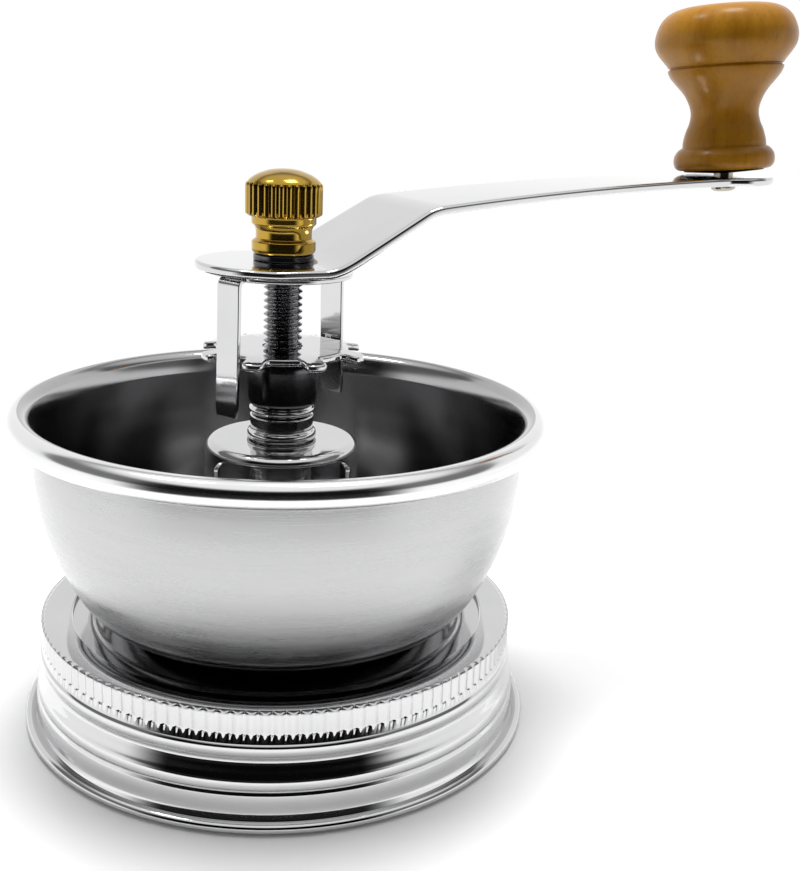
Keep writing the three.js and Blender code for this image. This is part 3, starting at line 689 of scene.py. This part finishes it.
def adjuster_plate():
    high, edge = top("adjuster_plate"), reach("adjuster_plate")
    middle_radius = 13.0
    notch = math.radians(NOTCH_HALF) * middle_radius
    half_pitch = math.pi / NOTCHES * middle_radius
    quarter = [(0, NOTCH_BOTTOM), (notch * 0.35, NOTCH_BOTTOM), (notch * 0.6, NOTCH_BOTTOM)]
    low_corner = (notch - 0.9, NOTCH_BOTTOM), (notch, NOTCH_BOTTOM), (notch + 0.1, NOTCH_BOTTOM + 0.9)
    quarter += bezier(*low_corner, 5)
    quarter += [(notch + 0.18, NOTCH_BOTTOM + 1.4)]
    tab_corner = (notch + 0.25, edge - 1.1), (notch + 0.4, edge - 0.1), (notch + 1.35, edge - 0.03)
    quarter += bezier(*tab_corner, 6)
    quarter += [(half_pitch, edge)]
    period = quarter[:-1] + [(2 * half_pitch - s, r) for s, r in reversed(quarter)][:-1]
    outline = []
    for i in range(NOTCHES):
        for s, r in period:
            angle = math.radians(NOTCH_TURN) + (s + 2 * half_pitch * i) / middle_radius
            outline.append((r * math.cos(angle), r * math.sin(angle)))

    def middle(points, share):
        radii = np.linalg.norm(points, axis=1)[:, None]
        return points * (share + (1 - share) * RUNNING_BORE / radii)

    def bend(x, y, depth):
        out = max(0.0, (math.hypot(x, y) - NOTCH_BOTTOM + 1) / (edge - NOTCH_BOTTOM + 1))
        return x, y, high - depth - TAB_DROOP * out**1.7

    stamped_plate("adjuster_plate", polished, outline, middle, PLATE_SHEET, 0.42, bend, pierced=True)


# ---------- shaft ----------
THREAD_PITCH = 1.15
THREAD_DEPTH = 0.68
FLAT_HALF = 2.4


def drive_shaft():
    low, high = bottom("drive_shaft"), top("drive_shaft")
    full, foot, drive = 3.35, 2.9, 3.1
    burr_seat = top("burr_washer") + 0.15
    shoulder = top("lock_clip") - 1.0
    thread_start = bottom("adjuster_hub") - 2
    segments = 96
    angles = np.linspace(0, 2 * math.pi, segments, endpoint=False)
    heights = [low, low + 0.3, burr_seat, burr_seat + 0.05, thread_start - 0.3]
    heights += list(np.arange(thread_start, high - 0.4, THREAD_PITCH / 14)) + [high - 0.35, high]
    vertices = [(0, 0, low)]
    for z in heights:
        radius = foot if z <= burr_seat else full if z < shoulder else drive
        radius -= 0.35 * (z in (low, high))
        depth = THREAD_DEPTH if thread_start <= z <= high - 0.36 else 0.0
        turns = (z / THREAD_PITCH - angles / (2 * math.pi)) % 1
        groove = np.clip((0.5 - np.abs(turns - 0.5)) / 0.5 * 1.25 - 0.12, 0, 1)
        radii = radius - depth * (1 - groove)
        x, y = radii * np.cos(angles), radii * np.sin(angles)
        if z >= shoulder:
            y = np.clip(y, -FLAT_HALF, FLAT_HALF)
        vertices.extend(np.column_stack([x, y, np.full(segments, z)]).tolist())
    vertices.append((0, 0, high))
    rows = [[1 + j * segments + i for i in range(segments)] for j in range(len(heights))]
    faces = [(a[i], a[(i + 1) % segments], b[(i + 1) % segments], b[i])
             for a, b in zip(rows, rows[1:]) for i in range(segments)]
    last = len(vertices) - 1
    faces += [(0, rows[0][(i + 1) % segments], rows[0][i]) for i in range(segments)]
    faces += [(last, rows[-1][i], rows[-1][(i + 1) % segments]) for i in range(segments)]
    finish_mesh("drive_shaft", vertices, faces, thread_steel_painted_dark, ["drive_shaft"], sharp=40)


# ---------- lock clip ----------
CLIP_SHEET = 0.7
CLIP_LEG_HALF = 2.5
CLIP_NECK = 11.0
LEG_FLARE = 0.6


def lock_clip():
    high, low = top("lock_clip"), bottom("lock_clip")
    disc_edge = 12.0
    leg_face, bend = 13.1, 2.0
    clip = Sheet()
    neck_half = math.asin(CLIP_LEG_HALF / CLIP_NECK)
    leg = np.linspace(-CLIP_LEG_HALF, CLIP_LEG_HALF, 9)
    leg_angles = np.arcsin(leg / CLIP_NECK)
    rest = np.linspace(neck_half, math.pi - neck_half, 49)
    path = [(CLIP_NECK, high)]
    path += bezier((leg_face - bend, high), (leg_face, high), (leg_face, high - bend), 10)
    path += [(leg_face, z) for z in np.linspace(high - bend - 1, low, 16)]
    for side in (NOTCH_TURN, NOTCH_TURN + 180):
        every = np.concatenate([leg_angles, rest[1:]])
        clip.patch([turn(row, side) for row in circles((2.6, 5, 8, CLIP_NECK), every, high)])
        clip.patch([turn(row, side) for row in circles((CLIP_NECK, 11.6, disc_edge), rest, high)])
        rows = circles([CLIP_NECK], leg_angles, high)
        for u, z in path[1:]:
            narrow = 1 - 0.12 * max(0.0, 1 - (z - low) / 0.9)
            flare = LEG_FLARE * max(0.0, (high - bend - z) / (high - bend - low)) ** 1.5
            rows.append([(u + flare, v * narrow, z) for v in leg])
        clip.patch([turn(row, side) for row in rows])
    clip.make("lock_clip", polished, ["lock_clip"], CLIP_SHEET, 0.16)


# ---------- crank arm ----------
ARM_SHEET = 1.5
ARM_WAIST = (37, 12.5)  # control point of each long side's curve


def arm_top_line(root, end, level, tip):
    """Side view of the arm's upper face, as (distance from the shaft's axis, height) points."""
    line = [(-root - 1, level), (2.6, level)]
    line += bezier((2.6, level), (4.58, level), (8.0, level + 1.96), 10)[1:]
    line += bezier((20.4, level + 9.05), (21.9, level + 9.9), (24.4, level + 10.2), 8)
    line += bezier((24.4, level + 10.2), (62, level + 14.5), (end + 1, tip + 0.2), 40)[1:]
    return np.array(line)


def crank_arm():
    pin = (KNOB_ORIGIN.x - AXIS.x) / MM
    arm_low, arm_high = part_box("crank_arm")
    end_radius = (arm_high.x - KNOB_ORIGIN.x) / MM
    root_back = (AXIS.x - arm_low.x) / MM
    root_side = arm_high.y / MM
    root_flat = math.sqrt(root_back**2 - root_side**2)
    level = top("lock_clip") + 0.3 + ARM_SHEET
    line = arm_top_line(root_back, pin + end_radius, level, KNOB_ORIGIN.z / MM)
    slope = np.gradient(line[:, 1], line[:, 0])
    side_end = (pin - end_radius / 2, end_radius * 0.866)
    waist = np.array(bezier((root_flat, root_side), ARM_WAIST, side_end, 40))

    def half_width(u):
        if u < -root_flat:
            return math.sqrt(max(0.0, root_back**2 - u**2))
        if u < root_flat:
            return root_side
        if u > waist[-1, 0]:
            return math.sqrt(max(0.0, end_radius**2 - (u - pin) ** 2))
        return np.interp(u, waist[:, 0], waist[:, 1])

    back = [-root_back * math.cos(a) for a in np.radians(np.linspace(0, 90, 31))]
    front = [pin + end_radius * math.sin(a) for a in np.radians(np.linspace(-28, 90, 36))]
    along = back + list(np.linspace(0.6, 27, 50)) + list(np.linspace(28, pin - 5.5, 40)) + front
    near = [(u, -half_width(u)) for u in along]
    near[0], near[-1] = (along[0], 0.0), (along[-1], 0.0)
    outline = near + [(u, -v) for u, v in reversed(near[1:-1])]

    def middle(points, share):
        return points * (1, share)

    def bend(u, v, depth):
        steep = np.interp(u, line[:, 0], slope)
        size = math.hypot(1, steep)
        return u + steep / size * depth, v, np.interp(u, line[:, 0], line[:, 1]) - depth / size

    stamped_plate("crank_arm", polished, outline, middle, ARM_SHEET, 0.6, bend, pierced=False)


# ---------- crank nut ----------
FLUTES = 30
FLUTE_DEPTH = 0.5


def crank_nut():
    low, high, head = bottom("crank_nut"), top("crank_nut"), reach("crank_nut")
    bore, bore_top = 3.45, top("drive_shaft") + 0.6
    flute_low, flute_high = low + 6.6, low + 11.6

    def fluted(angles, radius, z):
        if radius < head - 0.6 or not flute_low - 0.3 <= z <= flute_high + 0.2:
            return np.full(len(angles), radius)
        return radius - FLUTE_DEPTH * (1 - np.abs(np.sin(angles * FLUTES / 2)) ** 0.8)

    collar = rounded([
        (bore, low, 0.2), (5.0, low, 0.25), (5.45, low + 0.5, 0.3), (5.45, low + 2.1, 0.2),
        (4.95, low + 2.45, 0.1), (4.75, low + 2.6, 0.2), (4.75, low + 4.0, 0.5),
        (5.1, low + 4.7, 0.4), (5.5, low + 5.0, 0.3), (5.5, low + 6.25, 0.2),
        (head - 0.55, low + 6.4, 0.15),
    ], 0.2, 4)
    sides = [(head, z) for z in np.linspace(flute_low + 0.05, flute_high - 0.25, 8)]
    dome = spline([
        (head - 0.12, flute_high), (head - 0.75, flute_high + 0.75), (head - 2, high - 0.95),
        (head - 3.8, high - 0.3), (head - 5.3, high - 0.05), (0, high),
    ], 26)
    outline = [*collar, *sides, *dome, (0, bore_top), (bore, bore_top)]
    lathe("crank_nut", outline, brass, ["crank_nut"], FLUTES * 14, fluted, sharp=36)


def nut_washer():
    """The washer, drawn a little thicker than in CAD and in black steel, as painted shade in the gap under the
    nut's collar.
    """
    extra = 0.22
    low, high = bottom("nut_washer") - extra, top("nut_washer") + extra
    outline = rounded([(3.45, low), (5.15, low), (5.15, high), (3.45, high)], 0.15)
    lathe("nut_washer", outline, dark_steel, ["nut_washer"], 96)


# ---------- knob and pin ----------
def knob_frame():
    """Frame on the arm's upper face, with Z along the axis that the knob turns on."""
    direction = Vector(joint("knob_spin")["axis"])
    lean = Vector((0, 0, 1)).rotation_difference(direction).to_matrix().to_4x4()
    return Matrix.Translation(KNOB_ORIGIN) @ lean


def knob():
    local = knob_frame().inverted()
    heights = [(local @ v.co).z / MM for v in frame["nodes"]["knob"].data.vertices]
    lift, height = min(heights), max(heights) - min(heights)
    base = [(8.3, 0), (8.9, 0.12), (9.5, 0.7), (9.74, 1.7), (9.55, 2.9), (8.9, 3.8), (8.4, 4.2)]
    waist = spline([
        (8.08, 4.3), (8.02, 4.7), (7.95, 5.5), (7.45, 7.4), (6.8, 9.0), (6.5, 10.8), (6.85, 12.6),
        (7.9, 14.7), (9.4, 16.5), (10.5, 17.9), (10.95, 18.9), (10.95, 19.25),
    ], 44)
    groove = [(10.6, 19.45), (10.6, 19.6)]
    head = spline([
        (10.95, 19.8), (11.25, 20.3), (12.3, 21.6), (13.2, 23.0), (13.5, 24.4), (13.3, 26.1),
        (12.45, 28.1), (11.0, 29.6), (8.8, 30.5), (5.5, height - 0.1), (2.5, height), (0, height),
    ], 60)
    bore, depth = 2.2, top_of_pin() + 0.5
    hole = [(0, depth - lift), (bore, depth - lift), (bore, 0.35), (8.0, 0.35)]
    outline = [*spline(base, 22), *waist, *groove, *head, *hole]
    outline = [(r, z + lift) for r, z in outline]
    lathe("knob", outline, wood, ["knob"], 160, matrix=knob_frame(), sharp=40)


def top_of_pin():
    local = knob_frame().inverted()
    return max((local @ v.co).z / MM for v in frame["nodes"]["knob_pin"].data.vertices)


def knob_pin():
    head_top = -ARM_SHEET - 0.25
    high = top_of_pin()
    dome = [(0, head_top - 1.5), (1.2, head_top - 1.45), (1.9, head_top - 1.3), (2.3, head_top - 1.0)]
    stem = [(2.4, head_top), (1.9, head_top), (1.9, high - 0.3), (1.6, high), (0, high)]
    outline = [*dome, (2.4, head_top - 0.7), *stem]
    lathe("knob_pin", outline, pin_steel_painted_dark, ["knob_pin"], 72, matrix=knob_frame(), sharp=32)
    # A dark cupped disc under the knob's base, with no CAD part of its own: painted shade in the gap between the
    # knob and the arm.
    cupped = [(1.9, 0.36), (7.6, 0.8), (7.75, 0.88), (7.6, 0.97), (1.9, 0.97)]
    lathe("knob_gap_shade", cupped, dark_steel, ["knob_pin"], 96, matrix=knob_frame(), sharp=50)


# ---------- burrs, holder, spring and their fasteners ----------
def saw(angles, teeth, twist, z):
    """Tooth outline that rises slowly and falls quickly round the burr, twisted with height."""
    phase = (angles * teeth / (2 * math.pi) + twist * z) % 1
    return np.where(phase < 0.82, phase / 0.82, (1 - phase) / 0.18)


def outer_burr():
    low, high, edge = bottom("outer_burr"), top("outer_burr"), reach("outer_burr")
    mouth, throat = edge - 1.7, edge - 4.85

    def toothed(angles, radius, z):
        if radius > edge - 1.2 or z > high - 0.2 or z < low + 0.1:
            return np.full(len(angles), radius)
        return radius + 0.55 * saw(angles, 36, -0.12, z)

    falling, rising = np.linspace(1, 0, 12), np.linspace(0, 1, 14)
    funnel = [(throat + (edge - 2.2 - throat) * t, low + 6 + (high - low - 6) * t) for t in falling]
    cone = [(throat + (mouth - throat) * t, low + 6 - 5.6 * t) for t in rising]
    outside = [(edge - 0.3, low), (edge, low + 0.3), (edge, high - 0.3), (edge - 0.3, high)]
    outline = [(mouth, low), *outside, *funnel, *cone[1:]]
    lathe("outer_burr", outline, ceramic, ["outer_burr"], 36 * 12, toothed, sharp=30)


def inner_burr():
    low, high, edge = bottom("inner_burr"), top("inner_burr"), reach("inner_burr")
    waist = edge - 6.1
    cone_top = high - 2

    def toothed(angles, radius, z):
        if radius < waist - 0.4 or z > cone_top or z < low + 0.1:
            return np.full(len(angles), radius)
        coarse = 1.7 * saw(angles, 6, 0.03, z) * (z - low) / (cone_top - low)
        return radius - 0.5 * (1 - saw(angles, 30, 0.1, z)) - coarse * 0.5

    steps = np.linspace(0, 1, 22)
    cone = [(edge + (waist - edge) * t, low + 1.5 + (cone_top - low - 1.5) * t) for t in steps]
    hub = [(waist - 0.5, cone_top + 0.1), (waist - 0.5, high - 0.2), (waist - 0.7, high)]
    skirt = [(RUNNING_BORE, low), (edge - 0.2, low), (edge, low + 0.2)]
    outline = [*skirt, *cone, *hub, (RUNNING_BORE, high)]
    lathe("inner_burr", outline, ceramic, ["inner_burr"], 30 * 12, toothed, sharp=30)


def burr_holder():
    low, high, edge = bottom("burr_holder"), top("burr_holder"), reach("burr_holder")
    inner = reach("outer_burr") + 0.3
    outline = [
        (inner - 1.6, low), (inner + 1.3, low, 0.8), (inner + 1.3, high - 1.2, 0.6), (edge, high - 1.2),
        (edge, high), (inner, high, 0.5), (inner, low + 1.1), (inner - 1.6, low + 1.1),
    ]
    lathe("burr_holder", rounded(outline, 0.2, 4), plain_steel, ["burr_holder"], 192)


def burr_spring():
    low, high = bottom("burr_spring"), top("burr_spring")
    wire, radius, turns = 0.55, 4.95, 6.5
    steps, sides = 360, 16
    t = np.linspace(0, 1, steps + 1)
    closed = 0.11
    rise = np.clip((t - closed) / (1 - 2 * closed), 0, 1)
    rise = rise * rise * (3 - 2 * rise) * 0.25 + rise * 0.75
    z = low + wire + 0.05 + (high - low - 2 * wire - 0.1) * rise
    angle = 2 * math.pi * turns * t
    path = np.column_stack([radius * np.cos(angle), radius * np.sin(angle), z])
    ring = np.linspace(0, 2 * math.pi, sides, endpoint=False)
    vertices = []
    for p, a in zip(path, angle):
        out = np.array([math.cos(a), math.sin(a), 0])
        for b in ring:
            vertices.append(p + wire * (math.cos(b) * out + math.sin(b) * np.array([0, 0, 1])))
    rows = [[j * sides + i for i in range(sides)] for j in range(steps + 1)]
    faces = [(a[i], a[(i + 1) % sides], b[(i + 1) % sides], b[i])
             for a, b in zip(rows, rows[1:]) for i in range(sides)]
    faces += [tuple(rows[0][::-1]), tuple(rows[-1])]
    spring = finish_mesh("burr_spring", vertices, faces, spring_steel, ["burr_spring"], sharp=60)
    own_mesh(spring)


# ---------- the mill ----------
screw_band()
jar_disc()
washer("jar_gasket", rubber, reach("jar_gasket") - 3.6, 0.3, 192)
hopper_bowl()
bridge()
for number in range(1, 5):
    bridge_screw(f"bridge_screw_{number}")
    hex_nut(f"holder_nut_{number}", 5.3, 1.6, plain_steel)
shaft_bushing()
thrust_washer()
adjuster_hub()
adjuster_plate()
drive_shaft()
lock_clip()
crank_arm()
nut_washer()
crank_nut()
knob()
knob_pin()
outer_burr()
inner_burr()
burr_holder()
burr_spring()
washer("spring_washer", plain_steel, RUNNING_BORE)
washer("burr_washer", plain_steel, 3.0)
hex_nut("burr_nut", 8.8, 3.0, plain_steel)


# ---------- floor, light and camera ----------
CAMERA_FROM_AXIS = Vector((-67.69, -189.05, 108.93)) * MM
CAMERA_HEADING = math.radians(25.713)  # from +Y towards +X
CAMERA_PITCH = math.radians(-16.073)
CAMERA_ROLL = math.radians(2.331)
CAMERA_LENS = 48.41
TABLE_RADIUS = 0.18
TABLE_SIDES = 160


def studio_floor():
    """Round white table, a little wider than the shadow."""
    material, tree, shader = new_material("studio_floor")
    grain = noise(tree, place(tree), 40.0, 2.0)
    white = ramp(tree, grain, (0.3, (0.96, 0.96, 0.96)), (0.7, (0.98, 0.98, 0.98)))
    tree.links.new(white, shader.inputs["Base Color"])
    shader.inputs["Roughness"].default_value = 0.9
    shader.inputs["Specular IOR Level"].default_value = 0.1
    ring = np.linspace(0, 2 * math.pi, TABLE_SIDES, endpoint=False)
    mesh = bpy.data.meshes.new("studio_floor")
    corners = [(TABLE_RADIUS * math.cos(a), TABLE_RADIUS * math.sin(a), 0) for a in ring]
    mesh.from_pydata(corners, [], [tuple(range(TABLE_SIDES))])
    mesh.materials.append(material)
    floor = bpy.data.objects.new("studio_floor", mesh)
    floor.location = (AXIS.x, AXIS.y, -0.0001)
    bpy.context.scene.collection.objects.link(floor)


# Two numbers tell where a direction points. Front is the cosine of its level angle from the way to the
# camera, and up is the sine of its elevation. A pair in brackets tells where a fade starts and ends.
ROOM_FRONT = (0.42, 0.74)
ROOM_UP = (-0.38, -0.24)
ROOM_DARKNESS = 0.985
UNDER_CEILING = (0.84, 0.64)
BELT_DARKNESS = 0.8
BELT_BEHIND, BELT_BESIDE = 0.64, 0.22  # where the belt starts, as an up
LOW_LEVEL = 1.22
SOFT_BEHIND, SOFT_FRONT = 0.75, 0.25


def studio_world():
    """
    White surroundings. What shines sees a bright ceiling, bright panels behind and beside, a grey belt
    between them and a dark room in front. What doesn't shine is lit softly, mostly from behind.
    """
    world = bpy.data.worlds.new("studio")
    world.use_nodes = True
    tree = world.node_tree
    background = tree.nodes["Background"]
    direction = node(tree, "ShaderNodeTexCoord").outputs["Generated"]
    parts = node(tree, "ShaderNodeSeparateXYZ", [(0, direction)]).outputs
    up = parts[2]
    flat = calc(tree, "MAXIMUM", hypotenuse(tree, parts[0], parts[1]), 0.001)
    across = product(tree, parts[0], -math.sin(CAMERA_HEADING))
    along = product(tree, parts[1], -math.cos(CAMERA_HEADING))
    front = calc(tree, "DIVIDE", calc(tree, "ADD", across, along), flat)

    under_ceiling = fade(tree, up, *UNDER_CEILING)
    room = product(tree, fade(tree, front, *ROOM_FRONT), fade(tree, up, *ROOM_UP))
    room = product(tree, room, under_ceiling)
    belt_height = fade(tree, front, -0.7, 0.0, BELT_BEHIND, BELT_BESIDE)
    over_belt = calc(tree, "SUBTRACT", up, belt_height)
    belt = product(tree, fade(tree, over_belt, -0.04, 0.05), under_ceiling)
    level = calc(tree, "SUBTRACT", LOW_LEVEL, fade(tree, up, 0.04, 0.25, 0.0, LOW_LEVEL - 1.0))
    level = product(tree, level, without(tree, product(tree, belt, BELT_DARKNESS)))
    level = product(tree, level, without(tree, product(tree, room, ROOM_DARKNESS)))

    rays = node(tree, "ShaderNodeLightPath").outputs
    soft = fade(tree, front, -0.1, 0.7, SOFT_BEHIND, SOFT_FRONT)
    level = calc(tree, "MULTIPLY_ADD", calc(tree, "SUBTRACT", level, soft), rays["Is Glossy Ray"], soft)
    level = calc(tree, "MULTIPLY_ADD", without(tree, level), rays["Is Camera Ray"], level)
    tree.links.new(level, background.inputs["Strength"])
    background.inputs["Color"].default_value = (1, 1, 1, 1)
    bpy.context.scene.world = world


def soft_light(name, offset, size, power):
    """Square soft box aimed at the middle of the mill."""
    lamp = bpy.data.lights.new(name, "AREA")
    lamp.size = size
    lamp.energy = power
    light = bpy.data.objects.new(name, lamp)
    target = AXIS + Vector((0, 0, 0.05))
    light.location = target + Vector(offset)
    light.rotation_euler = (target - light.location).to_track_quat("-Z", "Y").to_euler()
    bpy.context.scene.collection.objects.link(light)
    return light


def camera():
    data = bpy.data.cameras.new("camera")
    data.lens = CAMERA_LENS
    data.clip_start, data.clip_end = 0.005, 50
    made = bpy.data.objects.new("camera", data)
    h, p = CAMERA_HEADING, CAMERA_PITCH
    forward = Vector((math.sin(h) * math.cos(p), math.cos(h) * math.cos(p), math.sin(p)))
    right = Vector((math.cos(h), -math.sin(h), 0))
    up = right.cross(forward)
    rolled = right * math.cos(CAMERA_ROLL) + up * math.sin(CAMERA_ROLL)
    above = up * math.cos(CAMERA_ROLL) - right * math.sin(CAMERA_ROLL)
    turn_matrix = Matrix((rolled, above, -forward)).transposed().to_4x4()
    made.matrix_world = Matrix.Translation(AXIS + CAMERA_FROM_AXIS) @ turn_matrix
    bpy.context.scene.collection.objects.link(made)
    bpy.context.scene.camera = made


studio_floor()
studio_world()
overhead = soft_light("overhead", (0.05, 0.12, 0.9), 0.46, 10.2)
overhead.visible_glossy = False
for name, offset, size, power in [
    ("left_glint", (-0.20, 0.16, 0.60), 0.10, 0.5),
    ("right_glint", (0.12, 0.02, 0.62), 0.16, 1.1),
]:
    soft_light(name, offset, size, power).visible_diffuse = False
camera()
bpy.context.scene.view_settings.view_transform = "Standard"
